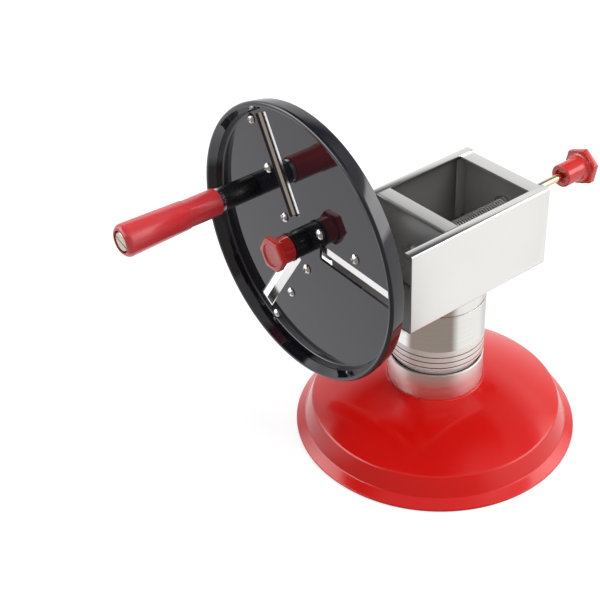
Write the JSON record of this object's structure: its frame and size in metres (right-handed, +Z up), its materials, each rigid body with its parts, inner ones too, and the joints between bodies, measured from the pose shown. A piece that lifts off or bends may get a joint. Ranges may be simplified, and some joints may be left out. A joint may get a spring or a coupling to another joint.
{
  "type": "rotary potato slicer",
  "caption": "Hand-cranked potato slicer: a bladed disc with a side crank, a sprung feed hopper and a column that twists to lock a suction base.",
  "frame": {"origin": "centre of the base's footprint, on the table", "axes": "+Z up along the column, -Y towards the crank and +Y towards the pusher's knob, +X away from the disc's axle"},
  "size_m": [0.2814, 0.349, 0.2764],
  "materials": {
    "red_enamel": "glossy stoved enamel",
    "stainless": "turned stainless steel, fine grain round the axis",
    "hopper_steel": "bright stainless sheet",
    "dark_enamel": "dark mirror-gloss enamel",
    "blade_steel": "ground cutting steel",
    "red_plastic": "glossy moulded plastic",
    "grip_plastic": "glossy moulded plastic, faintly ribbed",
    "black_plastic": "satin black plastic",
    "nylon": "natural nylon",
    "rubber": "smooth black rubber",
    "fastener": "plated steel",
    "spring_steel": "bright spring wire",
    "zinc": "yellow zinc plating",
    "brass": "machined brass",
    "cast_alloy": "cast and turned alloy"
  },
  "bodies": {
    "base": {"base_shell": "red_enamel", "base_collar": "stainless", "collar_screws": "fastener", "guide_bush": "black_plastic", "thrust_washer": "nylon", "swivel_bush": "black_plastic", "suction_pad": "rubber"},
    "lift": {"pad_plate": "zinc", "lift_screw": "zinc"},
    "column": {"post_neck": "cast_alloy", "lift_nut": "brass", "post_tube": "stainless", "post_cap": "stainless", "cap_screws": "fastener", "hopper_trough": "hopper_steel", "rear_wall": "hopper_steel", "wall_rivets": "fastener", "rod_bush": "fastener", "axle_bracket": "stainless", "bracket_screws": "fastener", "bracket_nuts": "fastener", "axle": "stainless", "axle_nut": "fastener", "axle_washer": "brass", "knob_washer": "nylon", "front_knob": "red_plastic"},
    "pusher": {"pusher_plate": "hopper_steel", "pusher_rod": "zinc", "rod_nut": "zinc", "spring_seat": "zinc", "pusher_spring": "spring_steel", "rear_knob": "red_plastic"},
    "disc": {"disc_pan": "dark_enamel", "blade_1": "blade_steel", "blade_2": "blade_steel", "blade_3": "blade_steel", "blade_screws": "fastener", "hub_sleeve": "black_plastic", "crank_spacer": "black_plastic", "crank_washer": "fastener", "crank_pin": "fastener", "crank_nut": "fastener", "pin_washer": "fastener"},
    "grip": {"handle_grip": "grip_plastic"}
  },
  "joints": [
    {"name": "twist_lock", "type": "hinge", "parent": "base", "child": "column", "pos_m": [0, 0, 0.0467], "axis": [0, 0, -1], "range_deg": [0, 360]},
    {"name": "suction_lift", "type": "slide", "parent": "base", "child": "lift", "axis": [0, 0, 1], "range_m": [0, 0.005]},
    {"name": "pusher_slide", "type": "slide", "parent": "column", "child": "pusher", "axis": [0, 1, 0], "range_m": [-0.034, 0.044], "stiffness_N_per_m": 100, "springref_m": -0.06, "deforming": ["pusher_spring"]},
    {"name": "disc_turn", "type": "hinge", "parent": "column", "child": "disc", "pos_m": [-0.063, -0.0742, 0.168], "axis": [0, 1, 0], "continuous": true},
    {"name": "grip_turn", "type": "hinge", "parent": "disc", "child": "grip", "pos_m": [-0.12232, -0.1499, 0.18831], "axis": [0, 1, 0], "continuous": true}
  ],
  "couplings": [
    {"joint": "suction_lift", "follows": "twist_lock", "m_per_rad": 0.00079577}
  ]
}
